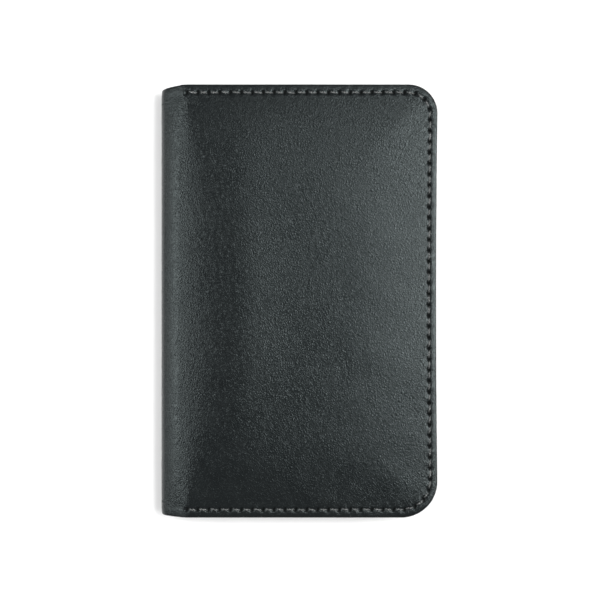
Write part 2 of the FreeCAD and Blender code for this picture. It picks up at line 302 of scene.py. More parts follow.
# the slow waves of a leather sheet
WAVES = 9
WAVE_LENGTHS = (16, 42)
WAVE_RISE = 0.014
BACK_WAVES = 0.3
# the seam: its sunk line, its stitch holes and the puckers between them
TROUGH_DEPTH = 0.09
TROUGH_HALF = 0.75
HOLE_DEPTH = 0.85
HOLE_ALONG = 0.52
HOLE_ACROSS = 0.66
HOLE_SLANT = 0.3
SEAM_LEAD = 1.2
SEAM_FADE = 0.8
PUCKER_RISE = 0.05
PUCKER_HALF = 1.6
# the cut edge
EDGE_ROUND = 0.45
BEVEL_DROP = 0.2
BEVEL_WIDTH = 2.3
BEVEL_POWER = 1.3


def inset_of(x, y):
    """How far inside the outline a point is."""
    _, cx, cy, _, _ = run_facts(0.0, 0.0)
    edge_x = DIP_X - np.sqrt(DIP_RADIUS**2 - y**2)
    inset = np.minimum(HALF_HEIGHT - np.abs(y), edge_x - x)
    for i, r in enumerate((CORNER_TOP, CORNER_BOTTOM)):
        beyond = (x > cx[i]) & (np.abs(y) > abs(cy[i])) & (y * cy[i] > 0)
        inset = np.where(beyond, r - np.hypot(x - cx[i], y - cy[i]), inset)
    return inset


def crown(x, y):
    """The rise of the front cover over the pockets, which falls off towards the seam."""
    inside = np.clip((inset_of(x, y) - CROWN_START) / CROWN_RISE, 0, 1)
    across = 1 - (1 - inside) ** CROWN_POWER
    beyond = np.clip((x - CROWN_TOP_X) / (CROWN_END_X - CROWN_TOP_X), 0, 1)
    ridge = RIDGE_RISE * np.exp(-(((x - RIDGE_X) / RIDGE_HALF) ** 2)) * (1 - (y / HALF_HEIGHT) ** 2)
    return CROWN * across * (1 - (1 - CROWN_FORE) * beyond**CROWN_FORE_POWER) + ridge


def spine_fall(x, y):
    """How far the front cover has come down towards the spine.

    Near the top and bottom the seam holds the layers flat up to its first hole. Half-way up, the
    leather falls from further out and further down.
    """
    held = smooth_step((np.abs(y) / HALF_HEIGHT - FALL_FREE) / (1 - FALL_FREE))
    start = FALL_START_MIDDLE + (FALL_START_ENDS - FALL_START_MIDDLE) * held
    drop = FALL_MIDDLE + (FALL_ENDS - FALL_MIDDLE) * held
    return drop * np.clip((start - x) / (start - SPLIT_X), 0, None) ** 2


def slow_waves(x, y):
    """The slight unevenness of a leather sheet, a few hundredths of a millimetre over centimetres."""
    total = np.zeros_like(x)
    rng = np.random.default_rng(SEED)
    for _ in range(WAVES):
        direction = rng.uniform(0, math.pi)
        length = rng.uniform(*WAVE_LENGTHS)
        phase = rng.uniform(0, 2 * math.pi)
        total += np.sin((x * math.cos(direction) + y * math.sin(direction)) * 2 * math.pi / length + phase)
    return WAVE_RISE * total


def outer_rise(x, y, front):
    """The height of the outer face over its plane, without its edges and seam."""
    if front:
        return crown(x, y) - spine_fall(x, y) + slow_waves(x, y)
    return BACK_WAVES * slow_waves(x, y)


def hole_slit(distance, inset):
    """1 in the middle of a slanted stitch hole and 0 away from it."""
    off = inset - SEAM_INSET
    nearest = np.clip(np.round(distance / PITCH), 0, STITCHES) * PITCH
    hole = distance - nearest + HOLE_SLANT * off
    return np.exp(-((hole / HOLE_ALONG) ** 2)) * np.exp(-((off / HOLE_ACROSS) ** 4))


def seam_relief(distance, inset):
    """The sunk line of the seam and the slit at each hole, by distance along the seam and inset."""
    off = inset - SEAM_INSET
    trough = -TROUGH_DEPTH * np.exp(-np.abs(off / TROUGH_HALF) ** 3)
    left = SEAM_LENGTH + SEAM_LEAD - distance
    starts = smooth_step((distance + SEAM_LEAD) / SEAM_FADE) * smooth_step(left / SEAM_FADE)
    puckered = PUCKER_RISE * np.cos(2 * math.pi * distance / PITCH) * np.exp(-((off / PUCKER_HALF) ** 2))
    return starts * (trough - HOLE_DEPTH * hole_slit(distance, inset) - puckered)


def edge_bevel(inset):
    """The margin outside the seam sinks slightly towards the cut edge."""
    return -BEVEL_DROP * np.clip(1 - inset / BEVEL_WIDTH, 0, 1) ** BEVEL_POWER


# ---------------- one half of the cover

# the cover is cut this far beyond its first and last fold
SPLIT_REACH = 1.9
SPLIT_X = FOLDS[0][0] + SPLIT_REACH
ROUND_STEPS = np.radians([0, 22.5, 45, 67.5, 90])
FLAT_RINGS = [0.7, 1.0, 1.4, 1.75, 2.0, 2.18, 2.34, 2.48, 2.62, 2.76, 2.9, 3.04, 3.18, 3.32, 3.46]
FLAT_RINGS += [3.62, 3.82, 4.1, 4.5, 5.0]
WALL_DEPTH = 0.9
INNER_ROUND = 0.15
INNER_INSET = 1.4
LEAD_STEPS = 4
# how much polish the rounding loses, how much the face keeps, and how far in that reaches
POLISH_LOST = 0.55
POLISH_KEPT = 0.45
POLISH_REACH = 0.6
# points up the fore-edge for each one along the top, where a half is about HALF_REACH wide
HALF_REACH = 49
FORE_SHARE = 2.25 * HALF_HEIGHT / HALF_REACH


def run_samples():
    """The samples along the run: a few to a stitch, closer at its holes, and some beyond either end."""
    lead = np.linspace(SPLIT_X - PANEL_MOUTH, 0, LEAD_STEPS, endpoint=False)
    even = np.linspace(0, STITCHES, STITCHES * STITCH_STEPS + 1)
    stitched = PITCH * (even - HOLE_CROWDING * np.sin(2 * math.pi * even) / (2 * math.pi))
    distance = np.concatenate([lead, stitched, SEAM_LENGTH - lead[::-1]])
    segment, share, _ = seam_places(distance, PANEL_MOUTH)
    _, x, _, _, _ = run_facts(SEAM_INSET, SEAM_FORE)
    for i, place in ((0, 0), (4, 1)):
        here = segment == i
        from_start = PANEL_MOUTH + (x[place] - PANEL_MOUTH) * (share if i == 0 else 1 - share)
        moved = (from_start - SPLIT_X) / (x[place] - SPLIT_X)
        share = np.where(here, moved if i == 0 else 1 - moved, share)
    return distance, segment, share


class HalfCover:
    """One half of the cover, added to a skin that it shares with the other half and the roll."""

    def __init__(self, skin, front):
        self.skin, self.front = skin, front
        self.distance, self.segment, self.share = run_samples()
        count = len(self.distance) - 1
        self.side = (count // 4 // 2) * 2
        while (count - 2 * self.side) > FORE_SHARE * self.side:
            self.side += 2

    def run(self, inset):
        """The line round the three stitched edges, at an inset."""
        return run_points(self.segment, self.share, inset, SPLIT_X, SPLIT_X)

    def place(self, xy, depth, relief=0.0, edge=0.0, flesh=0.0, hole=0.0):
        """Adds points from their plan position, depth under the outer face, relief, and wear and painted hole
        shade.
        """
        x, y = xy[..., 0], xy[..., 1]
        rise = outer_rise(x, y, self.front) + relief - depth
        z = STACK + rise if self.front else -rise
        along = (x - SPLIT_X + SIGMA[-1] / 2) * (1 if self.front else -1)
        points = np.stack([x, y, z], -1)
        coordinates = np.stack([along, y, -np.broadcast_to(depth, x.shape)], -1)
        wear_and_shade = stacked(x.shape, edge, flesh, hole)
        return self.skin.add(points, coordinates, wear_and_shade)

    def outer_band(self):
        """The rounded outer edge and the rings of the seam, from the cut edge inwards."""
        rings = []
        for turn in ROUND_STEPS:
            inset = EDGE_ROUND * (1 - math.cos(turn))
            depth = EDGE_ROUND * (1 - math.sin(turn))
            polish = 1 - POLISH_LOST * smooth_step(inset / EDGE_ROUND)
            rings.append(self.place(self.run(inset), depth, edge_bevel(inset), polish))
        for inset in FLAT_RINGS:
            relief = seam_relief(self.distance, inset) + edge_bevel(inset)
            polish = POLISH_KEPT * (1 - smooth_step((inset - EDGE_ROUND) / POLISH_REACH))
            # the hole value also marks where the colour is painted near-black as shade
            hole = hole_slit(self.distance, inset)
            rings.append(self.place(self.run(inset), 0.0, relief, polish, hole=hole))
        return np.stack(rings)

    def wall(self):
        """The cut edge below its outer rounding, down to the inner face."""
        rows = []
        for depth in (WALL_DEPTH, COVER_THICK - INNER_ROUND):
            rows.append(self.place(self.run(0.0), depth, edge_bevel(0.0), 1.0))
        for turn in np.radians([45, 90]):
            inset = INNER_ROUND * (1 - math.cos(turn))
            depth = COVER_THICK - INNER_ROUND * (1 - math.sin(turn))
            rows.append(self.place(self.run(inset), depth, edge_bevel(0.0), 1.0))
        return rows

    def middle(self, depth, flesh):
        """The patch inside the rings, on one face, with half as many points along its sides."""
        ring = self.run(FLAT_RINGS[-1])[::2]
        half = self.side // 2
        low = ring[len(ring) - 1 - half:][::-1]
        left = np.linspace(ring[0], ring[-1], len(ring) - 2 * half)
        xy = patch(ring[:half + 1], ring[half:len(ring) - half], low, left)
        return self.place(xy, depth, flesh=flesh)

    def add(self):
        """Adds the half and returns the loop of points at its spine end."""
        band, outer_middle, wall = self.outer_band(), self.middle(0.0, 0.0), self.wall()
        inner_row = self.place(self.run(INNER_INSET)[::2], COVER_THICK, flesh=1.0)
        inner_middle = self.middle(COVER_THICK, 1.0)
        skin, start = self.skin, len(self.skin.quads)
        skin.grid(band[::-1])
        skin.face(*coarse_faces(band[-1], three_sides(outer_middle), inward=True))
        skin.grid(outer_middle[:, ::-1])
        skin.grid(np.stack([band[0], *wall]))
        skin.face(*coarse_faces(wall[-1], inner_row, inward=False))
        skin.grid(np.stack([inner_row, three_sides(inner_middle)]))
        skin.grid(inner_middle)
        if not self.front:
            skin.turn_over(start)
        ends = [[inner_row[at], *[row[at] for row in wall[::-1]], *band[:, at]] for at in (0, -1)]
        return np.array([*ends[0], *outer_middle[:, 0], *ends[1][::-1], *inner_middle[::-1, 0]])


def three_sides(grid):
    """The sides of a patch that face the run, in the order of the run."""
    return np.concatenate([grid[0, :-1], grid[:-1, -1], grid[-1, ::-1]])


def coarse_faces(fine, coarse, inward):
    """Triangles between a row and one of half its steps, as four arrays of corners."""
    triangles = [
        (fine[:-2:2], fine[1:-1:2], coarse[:-1]),
        (fine[1:-1:2], coarse[1:], coarse[:-1]),
        (fine[1:-1:2], fine[2::2], coarse[1:]),
    ]
    a, b, c = (np.concatenate([t[i] for t in triangles]) for i in range(3))
    return (b, a, c, c) if inward else (a, b, c, c)


# ---------------- the roll over the spine

ROLL_STEPS = 7
ROLL_EASE = 9.0
SLOPE_STEP = 0.01
DRAW_IN_TOP = 1.3
DRAW_IN_LOW = 0.35
DRAW_IN_START = -39.0
DRAW_IN_POWER = 1.5


def splits():
    """Where the leather is cut: the middles of the strips, and a short way out on each half."""
    reach = np.array([SPLIT_REACH, 0])
    return np.array([FOLDS[0] + reach, *(FOLDS[:-1] + FOLDS[1:]) / 2, FOLDS[-1] + reach])


def roll_line():
    """The middle line of the leather round the spine, and its outward normals."""
    cuts = splits()
    t = np.linspace(0, 1, ROLL_STEPS + 1)[:, None]
    pieces = []
    for i, fold in enumerate(FOLDS):
        start, end = cuts[i], cuts[i + 1]
        line = (1 - t) ** 2 * start + 2 * t * (1 - t) * fold + t**2 * end
        pieces.append(line if i == 0 else line[1:])
    line = np.concatenate(pieces)
    step = np.gradient(line, axis=0)
    step[0], step[-1] = (-1, 0), (1, 0)
    step /= np.linalg.norm(step, axis=1, keepdims=True)
    normals = np.stack([-step[:, 1], step[:, 0]], -1)
    travelled = np.concatenate([[0], np.cumsum(np.linalg.norm(np.diff(line, axis=0), axis=1))])
    return line, normals, travelled


ROLL, ROLL_NORMALS, SIGMA = roll_line()


def drawn_in(x, y):
    """Where a point of the roll goes when the leather's ends are drawn in over the spine."""
    share = np.clip((DRAW_IN_START - x) / (DRAW_IN_START - SPINE_X), 0, 1) ** DRAW_IN_POWER
    pull = np.where(y > 0, DRAW_IN_TOP, DRAW_IN_LOW) * (np.abs(y) / HALF_HEIGHT) ** 2
    return y - np.sign(y) * pull * share


def roll_rows(skin, back_loop, front_loop):
    """Adds the leather between the two halves, and returns its rows of points from back to front."""
    points, coordinates, wear_and_shade, _ = skin.arrays()
    back, front = points[back_loop], points[front_loop]
    rises, slopes = [], []
    for is_front in (False, True):
        before, after = (
            outer_rise(np.full(len(back), SPLIT_X - step), back[:, 1], is_front) for step in (0, SLOPE_STEP)
        )
        rises.append(before)
        slopes.append((after - before) / SLOPE_STEP)
    plain_back = -back[:, 2] - rises[0]
    plain_front = front[:, 2] - STACK - rises[1]
    rows = [back_loop]
    for i in range(1, len(ROLL) - 1):
        share = SIGMA[i] / SIGMA[-1]
        out = COVER_THICK / 2 + (1 - share) * plain_back + share * plain_front
        for gone, rise, slope in zip((SIGMA[i], SIGMA[-1] - SIGMA[i]), rises, slopes):
            t = min(gone / ROLL_EASE, 1.0)
            out = out + rise * (1 - t) ** 2 * (1 + 2 * t) + slope * ROLL_EASE * t * (1 - t) ** 2
        xz = ROLL[i] + ROLL_NORMALS[i] * out[:, None]
        placed = np.stack([xz[:, 0], drawn_in(xz[:, 0], back[:, 1]), xz[:, 1]], -1)
        on_skin = coordinates[front_loop].copy()
        on_skin[:, 0] = SIGMA[i] - SIGMA[-1] / 2
        rows.append(skin.add(placed, on_skin, wear_and_shade[front_loop]))
    rows.append(front_loop)
    return rows


# ---------------- the whole cover, cut at the strips

def cut_piece(name, arrays, quads, normals, loops):
    """One piece of the cover as an object, from the faces that are its own."""
    points, coordinates, wear_and_shade = arrays
    used, numbers = np.unique(quads, return_inverse=True)
    lookup = {old: new for new, old in enumerate(used.tolist())}
    caps = [[lookup[i] for i in loop] for loop in loops]
    numbers = numbers.reshape(quads.shape)
    return make_object(name, points[used], numbers, coordinates[used], wear_and_shade[used], normals[used], caps)


def make_cover():
    """The cover: two halves that ride on their bodies, and a piece over each fold."""
    skin = Skin()
    back_loop = HalfCover(skin, front=False).add()
    back_faces = len(skin.quads)
    front_loop = HalfCover(skin, front=True).add()
    front_faces = len(skin.quads)
    rows = roll_rows(skin, back_loop, front_loop)
    bends = []
    for i in range(len(FOLDS)):
        piece = np.stack(rows[i * ROLL_STEPS:(i + 1) * ROLL_STEPS + 1])
        skin.grid(piece, closed=True)
        bends.append(skin.quads[-1])
    points, coordinates, wear_and_shade, quads = skin.arrays()
    normals = point_normals(points, quads)
    arrays = points, coordinates, wear_and_shade
    back_quads = np.concatenate(skin.quads[:back_faces])
    front_quads = np.concatenate(skin.quads[back_faces:front_faces])
    back = cut_piece("cover_back", arrays, back_quads, normals, [back_loop[::-1]])
    front = cut_piece("cover_front", arrays, front_quads, normals, [front_loop])
    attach(back, "back_half")
    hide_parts("back_cover")
    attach(front, "front_half")
    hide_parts("front_cover")
    made = [back, front]
    cuts = splits()
    for i, faces in enumerate(bends):
        ends = [rows[i * ROLL_STEPS], rows[(i + 1) * ROLL_STEPS][::-1]]
        piece = cut_piece(f"cover_spine_{i + 1}", arrays, faces, normals, ends)
        start, end = (Vector((cut[0], 0, cut[1])) * MM for cut in cuts[i:i + 2])
        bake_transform(piece)
        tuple(start)
        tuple(end)
        if i < len(FOLDS) - 1:
            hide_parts(f"spine_strip_{i + 1}")
        made.append(piece)
    return made


# ---------------- pocket panels

TICKET_MOUTH_TOP = -8.0
NOTCH_RADIUS = 8.5
NOTCH_HEIGHT = 36.0
# how the edges are rounded, and the insets of the rings inside them
PANEL_ROUND_RUN = 0.14
PANEL_ROUND_MOUTH = 0.4
PANEL_RINGS = [0.75, 1.15, 1.5, 1.75, 1.95, 2.15, 2.4, 2.9, 3.4, 4.2, 5.2]
HIDDEN_RINGS = [1.5, 5.2]
# the pressed line along a mouth, and the sunk line of the seam
CREASE_INSET = 1.95
CREASE_DEPTH = 0.09
CREASE_HALF = 0.22
PANEL_TROUGH = 0.12
PANEL_TROUGH_HALF = 0.5
# how far a mouth stands off the layer under it, how far in that reaches, and the margin sewn down
MOUTH_LIFT = 0.22
LIFT_REACH = 6
LIFT_MARGIN = 4
MOUTH_POLISH = 0.35
# points round a panel
NOTCH_STEPS = 26
NOTCHED_STEPS = 44
PLAIN_STEPS = 84
MOUTH_END_SHARE = 0.31
CORNER_STEPS = 7
PANEL_STEP = 1.6
PANEL_CORNER_X = 38
EASING_ROUNDS = 3


def notched_mouth(mouth, inset, steps):
    """The line of a card panel's mouth at an inset, from the top down, round two thumb notches."""
    radius = NOTCH_RADIUS + inset
    reach = math.sqrt(radius**2 - inset**2)
    swing = math.acos(inset / radius)
    top = HALF_HEIGHT - inset
    gaps = [top - NOTCH_HEIGHT - reach, 2 * (NOTCH_HEIGHT - reach), top - NOTCH_HEIGHT - reach]
    plain = steps - 2 * NOTCH_STEPS
    end_steps = round(plain * MOUTH_END_SHARE)
    counts = [end_steps, plain - 2 * end_steps, end_steps]
    line = []
    y = top
    for i, (gap, count) in enumerate(zip(gaps, counts)):
        ys = np.linspace(y, y - gap, count + 1)
        line.append(np.stack([np.full(count + 1, mouth + inset), ys], -1)[(0 if i == 0 else 1):])
        y -= gap
        if i < 2:
            angle = np.linspace(swing, -swing, NOTCH_STEPS + 1)[1:]
            centre = NOTCH_HEIGHT if i == 0 else -NOTCH_HEIGHT
            arc = np.stack([mouth + radius * np.cos(angle), centre + radius * np.sin(angle)], -1)
            line.append(arc)
            y = centre - reach
    return np.concatenate(line)


def straight_mouth(top_x, low_x, inset, steps):
    """The line of a plain mouth at an inset, from the top down; it may slant."""
    length = math.hypot(top_x - low_x, 2 * HALF_HEIGHT)
    shift = inset * length / (2 * HALF_HEIGHT)
    y = np.linspace(HALF_HEIGHT - inset, inset - HALF_HEIGHT, steps + 1)
    x = low_x + (top_x - low_x) * (y + HALF_HEIGHT) / (2 * HALF_HEIGHT) + shift
    return np.stack([x, y], -1)


def eased(line, rounds=3):
    """A line with its sharp corners eased by a few rounds of averaging, and its ends kept."""
    for _ in range(rounds):
        line = line.copy()
        line[1:-1] = (line[:-2] + 2 * line[1:-1] + line[2:]) / 4
    return line


class Panel:
    """A pocket panel in the making: face is the height of the side that shows, up the way it faces."""

    def __init__(self, node, mouths, notched, up, columns):
        low, high = box_mm(node)
        self.mouths, self.notched, self.up, self.columns = mouths, notched, up, columns
        self.face, self.thick = (high if up else low)[2], high[2] - low[2]
        self.skin = Skin()
        self.mouth_steps = 2 * NOTCH_STEPS + NOTCHED_STEPS if notched else PLAIN_STEPS
        along = round((PANEL_CORNER_X - (mouths[0] + mouths[1]) / 2) / PANEL_STEP)
        counts = [along, 2 * CORNER_STEPS, self.mouth_steps - 2 * CORNER_STEPS, 2 * CORNER_STEPS, along]
        self.segment = np.concatenate([np.full(n, i) for i, n in enumerate(counts)] + [[4]])
        self.share = np.concatenate([np.arange(n) / n for n in counts] + [[1.0]])
        self.side = along + CORNER_STEPS

    def ring(self, run_inset, mouth_inset):
        """The closed line at an inset, split in its mouth and its run."""
        top_x, low_x = self.mouths
        if self.notched:
            mouth = notched_mouth(top_x, mouth_inset, self.mouth_steps)
        else:
            mouth = straight_mouth(top_x, low_x, mouth_inset, self.mouth_steps)
        mouth[0, 1], mouth[-1, 1] = HALF_HEIGHT - run_inset, run_inset - HALF_HEIGHT
        mouth = eased(mouth, EASING_ROUNDS if self.notched else 0)
        run = run_points(self.segment, self.share, run_inset, mouth[0, 0], mouth[-1, 0])
        return mouth, run

    def lift(self, x, y):
        """How far the mouth stands off the layer under it, between where it is sewn down."""
        top_x, low_x = self.mouths
        mouth_x = low_x + (top_x - low_x) * (y + HALF_HEIGHT) / (2 * HALF_HEIGHT)
        span = (HALF_HEIGHT - LIFT_MARGIN) / self.columns
        held = np.abs(np.sin(math.pi * (y / span / 2 + (0.5 if self.columns == 1 else 0))))
        return MOUTH_LIFT * held**1.5 * np.exp(-np.clip(x - mouth_x, 0, None) / LIFT_REACH)

    def place(self, xy, depth, relief, edge, flesh):
        """Adds points from plan position, depth under the side that shows, relief and wear."""
        x, y = xy[..., 0], xy[..., 1]
        z = self.face + (self.lift(x, y) + relief - depth) * (1 if self.up else -1)
        coordinates = np.stack([x, y, np.broadcast_to(-depth, x.shape) + self.face], -1)
        wear_and_shade = stacked(x.shape, edge, flesh, 0.0)
        return self.skin.add(np.stack([x, y, z], -1), coordinates, wear_and_shade)

    def closed(self, line, depths, reliefs, edge, flesh):
        """Adds one ring of points, the run and then the mouth from the bottom up."""
        mouth, run = line
        xy = np.concatenate([run, mouth[::-1][1:-1]])
        on_run = np.arange(len(xy)) < len(run)
        depth, relief = (np.where(on_run, pair[1], pair[0]) for pair in (depths, reliefs))
        return self.place(xy, depth, relief, edge, flesh)

    def rounded_rows(self, showing):
        """The rounding from the edge's middle line to one side."""
        rows = []
        for turn in np.radians([0, 30, 60, 90]):
            out, down = 1 - math.cos(turn), 1 - math.sin(turn)
            line = self.ring(PANEL_ROUND_RUN * out, PANEL_ROUND_MOUTH * out)
            depths = [PANEL_ROUND_MOUTH * down, PANEL_ROUND_RUN * down]
            if not showing:
                depths = [self.thick - depth for depth in depths]
            polish = 0.5 if turn > 1.5 else 1.0
            rows.append(self.closed(line, depths, (0.0, 0.0), polish, 0.0))
        return rows

    def flat_row(self, inset, showing):
        """A ring on one side, with its part of the crease and of the seam's trough."""
        line = self.ring(inset, inset)
        if not showing:
            return self.closed(line, (self.thick, self.thick), (0.0, 0.0), 0.0, 1.0)
        crease = -CREASE_DEPTH * math.exp(-(((inset - CREASE_INSET) / CREASE_HALF) ** 2))
        trough = -PANEL_TROUGH * math.exp(-(((inset - SEAM_INSET) / PANEL_TROUGH_HALF) ** 2))
        polish = MOUTH_POLISH * float(smooth_step(1 - (inset - PANEL_ROUND_MOUTH) / POLISH_REACH))
        return self.closed(line, (0.0, 0.0), (crease, trough), polish, 0.0)

    def side_faces(self, showing):
        """Adds the points of one side: its rings, and a grid whose sides are the last ring's points."""
        rows = self.rounded_rows(showing)
        insets = PANEL_RINGS if showing else HIDDEN_RINGS
        rows += [self.flat_row(inset, showing) for inset in insets]
        mouth, run = self.ring(insets[-1], insets[-1])
        side = self.side
        xy = patch(run[:side + 1], run[side:len(run) - side], run[::-1][:side + 1], mouth)
        depth = 0.0 if showing else self.thick
        grid = np.zeros(xy.shape[:2], int)
        grid[1:-1, 1:-1] = self.place(xy[1:-1, 1:-1], depth, 0.0, 0.0, float(not showing))
        cells = np.arange(grid.size).reshape(grid.shape)
        grid.flat[np.concatenate([three_sides(cells), cells[1:-1, 0][::-1]])] = rows[-1]
        return rows, grid

    def make(self, name):
        """The panel as an object."""
        top_rows, top_grid = self.side_faces(showing=True)
        low_rows, low_grid = self.side_faces(showing=False)
        self.skin.grid(np.stack(top_rows)[::-1], closed=True)
        self.skin.grid(top_grid[:, ::-1])
        self.skin.grid(np.stack([top_rows[0], low_rows[0]]), closed=True)
        self.skin.grid(np.stack(low_rows), closed=True)
        self.skin.grid(low_grid)
        if not self.up:
            self.skin.turn_over(0)
        points, coordinates, wear_and_shade, quads = self.skin.arrays()
        return make_object(name, points, quads, coordinates, wear_and_shade)


def make_panels():
    """All six pocket panels, each over its own CAD node."""
    made = []
    full = (PANEL_MOUTH, PANEL_MOUTH)
    ticket = (TICKET_MOUTH_TOP, box_mm("back_ticket_panel")[0][0])
    plans = [
        ("back_notebook_panel", "back_half", full, False, True, 1),
        ("back_ticket_panel", "back_half", ticket, False, True, 1),
        ("front_slip_panel", "front_half", full, False, False, 1),
    ]
    for i, mouth in enumerate(CARD_MOUTHS, start=1):
        plans.append((f"front_card_panel_{i}", "front_half", (mouth, mouth), True, False, 2))
    for node, body, mouths, notched, up, columns in plans:
        panel = Panel(node, mouths, notched, up, columns).make("panel_" + node)
        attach(panel, body)
        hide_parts(node)
        made.append(panel)
    return made


# ---------------- stitching

PLY_RADIUS = 0.185
PLY_OFFSET = 0.15
PLY_TURNS = 1.15
PLY_NARROWING = 0.25
THREAD_SIDES = 8
THREAD_RINGS = 17
STITCH_SLANT = 0.2
STITCH_TOP = -0.02
STITCH_DIP = 0.8
STITCH_ARCH = 3.2
HOLE_CLEAR = 0.15
# how much one stitch differs from the next
SLANT_SPREAD = 0.06
SHIFT_SPREAD = 0.03
CLEAR_SPREAD = 0.03
HEIGHT_SPREAD = 0.03
# the first and last stitches of a seam are sewn double, so their thread is heavier
DOUBLE_STITCHES = 2
DOUBLE_WEIGHT = 1.22
INNER_RISE = 0.16
DIVIDER_PITCH = 3.75


def stitch_path(rng, start, end, height, out):
    """The middle of a stitch's thread, its two directions across, and how far up its arch each point is."""
    tau = np.linspace(0, 1, THREAD_RINGS)
    along = (end - start) / np.linalg.norm(end - start)
    across = np.array([-along[1], along[0]])
    slant = (STITCH_SLANT + rng.normal(0, SLANT_SPREAD)) * (1 - 2 * tau) + rng.normal(0, SHIFT_SPREAD)
    clear = HOLE_CLEAR + rng.uniform(-CLEAR_SPREAD, CLEAR_SPREAD, 2)
    travel = clear[0] + (1 - clear.sum()) * tau
    xy = start + np.outer(travel, end - start) + np.outer(slant, across)
    arch = 1 - np.abs(2 * tau - 1) ** STITCH_ARCH
    z = height + out * (STITCH_TOP - STITCH_DIP * (1 - arch) + rng.normal(0, HEIGHT_SPREAD))
    centre = np.column_stack([xy, z])
    tangent = np.gradient(centre, axis=0)
    tangent /= np.linalg.norm(tangent, axis=1, keepdims=True)
    sideways = np.tile(np.append(across, 0.0), (THREAD_RINGS, 1))
    upward = np.cross(tangent, sideways)
    upward /= np.linalg.norm(upward, axis=1, keepdims=True)
    return centre, np.cross(upward, tangent), upward, arch


def add_ply(skin, path, turn, weight):
    """Adds one of the two twisted plies of a stitch, as a closed tube."""
    centre, sideways, upward, arch = path
    swing = np.cos(turn)[:, None] * sideways + np.sin(turn)[:, None] * upward
    middle = centre + PLY_OFFSET * weight * swing
    ring = np.linspace(0, 2 * math.pi, THREAD_SIDES, endpoint=False)
    narrow = 1 - PLY_NARROWING + PLY_NARROWING * arch
    radius = (PLY_RADIUS * weight * narrow)[:, None, None]
    round_side = np.cos(ring)[None, :, None] * sideways[:, None]
    round_up = np.sin(ring)[None, :, None] * upward[:, None]
    tube = middle[:, None] + radius * (round_side + round_up)
    numbers = skin.add(tube, tube, 0.0)
    skin.grid(numbers, closed=True)
    for end in (numbers[0][::-1], numbers[-1]):
        skin.face(np.full(THREAD_SIDES - 2, end[0]), end[1:-1], end[2:], end[2:])


def stitch_rows(name, body, lines, slot_node):
    """Stitches between pairs of holes; a line holds start, end, height, outward direction and weight."""
    rng = np.random.default_rng(SEED + 1)
    skin = Skin()
    for start, end, height, out, weight in lines:
        path = stitch_path(rng, np.array(start), np.array(end), height, out)
        first_turn = rng.uniform(0, math.pi)
        for ply in (0, 1):
            twist = 2 * math.pi * PLY_TURNS * np.linspace(0, 1, THREAD_RINGS)
            add_ply(skin, path, first_turn + ply * math.pi + twist, weight)
    points, coordinates, wear_and_shade, quads = skin.arrays()
    row = make_object(name, points, quads, coordinates, wear_and_shade)
    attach(row, body)
    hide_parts(slot_node)
    return row


def face_height(x, y, base, steps):
    """The height of the innermost face over a point: steps are (mouth at the top, at the bottom, height)."""
    height = base
    for top_x, low_x, level in steps:
        if x > low_x + (top_x - low_x) * (y + HALF_HEIGHT) / (2 * HALF_HEIGHT):
            height = level
    return height


def seam_pairs():
    """The two holes of each stitch in a seam, and the stitch's weight."""
    holes = seam_points(np.arange(STITCHES + 1) * PITCH)
    for i, (a, b) in enumerate(zip(holes[:-1], holes[1:])):
        double = min(i, STITCHES - 1 - i) < DOUBLE_STITCHES
        yield a, b, DOUBLE_WEIGHT if double else 1.0


def inner_lines(base, steps, out):
    """The stitches of a seam's row on the innermost faces."""
    lines = []
    for a, b, weight in seam_pairs():
        ends = [face_height(*p, base, steps) for p in (a, b)]
        level = max(ends) if out > 0 else min(ends)
        lines.append((a, b, level + out * INNER_RISE, out, weight))
    return lines


def divider_lines(base, cards):
    """The stitches of the row that parts the card pockets, from the first mouth towards the fore-edge."""
    low, high = box_mm("divider_thread")
    lines = []
    for i in range(round((high[0] - low[0]) / DIVIDER_PITCH)):
        a = np.array([CARD_MOUTHS[0] + DIVIDER_PITCH * (i + 1), 0.0])
        b = a + np.array([DIVIDER_PITCH, 0.0])
        lines.append((a, b, face_height(*b, base, cards) - INNER_RISE, -1, 1.0))
    return lines


def make_stitching():
    """The seam's outer and inner rows on each half, and the row that parts the card pockets."""
    outer_front = [(a, b, STACK, 1, weight) for a, b, weight in seam_pairs()]
    outer_back = [(a, b, 0.0, -1, weight) for a, b, weight in seam_pairs()]
    cards = [(m, m, box_mm(f"front_card_panel_{i}")[0][2]) for i, m in enumerate(CARD_MOUTHS, start=1)]
    base = box_mm("front_slip_panel")[0][2]
    ticket_low, ticket_high = box_mm("back_ticket_panel")
    ticket = [(TICKET_MOUTH_TOP, ticket_low[0], ticket_high[2])]
    base_back = box_mm("back_notebook_panel")[1][2]
    inner_front, inner_back = inner_lines(base, cards, -1), inner_lines(base_back, ticket, 1)
    return [
        stitch_rows("stitches_front_outer", "front_half", outer_front, "front_seam_thread"),
        stitch_rows("stitches_back_outer", "back_half", outer_back, "back_seam_thread"),
        stitch_rows("stitches_front_inner", "front_half", inner_front, "front_seam_thread"),
        stitch_rows("stitches_back_inner", "back_half", inner_back, "back_seam_thread"),
        stitch_rows("stitches_divider", "front_half", divider_lines(base, cards), "divider_thread"),
    ]


# ---------------- materials

COVER_TONES = (0.006, 0.0073, 0.0079), (0.0088, 0.0104, 0.0108)
POCKET_TONES = (0.015, 0.0168, 0.0175), (0.022, 0.0245, 0.025)
THREAD_TONES = (0.03, 0.032, 0.0315), (0.1, 0.106, 0.104)
# painted shade: the tone that the grain's pits darken towards
PIT_SHADE_TONE = (0.006, 0.007, 0.0075)
BURNISHED_TONE = (0.0075, 0.008, 0.009)
# painted shade: the near-black that the stitch holes are painted
HOLE_SHADE_TONE = (0.0015, 0.0015, 0.0015)
LEATHER_TINT = (0.86, 1.0, 1.0, 1)


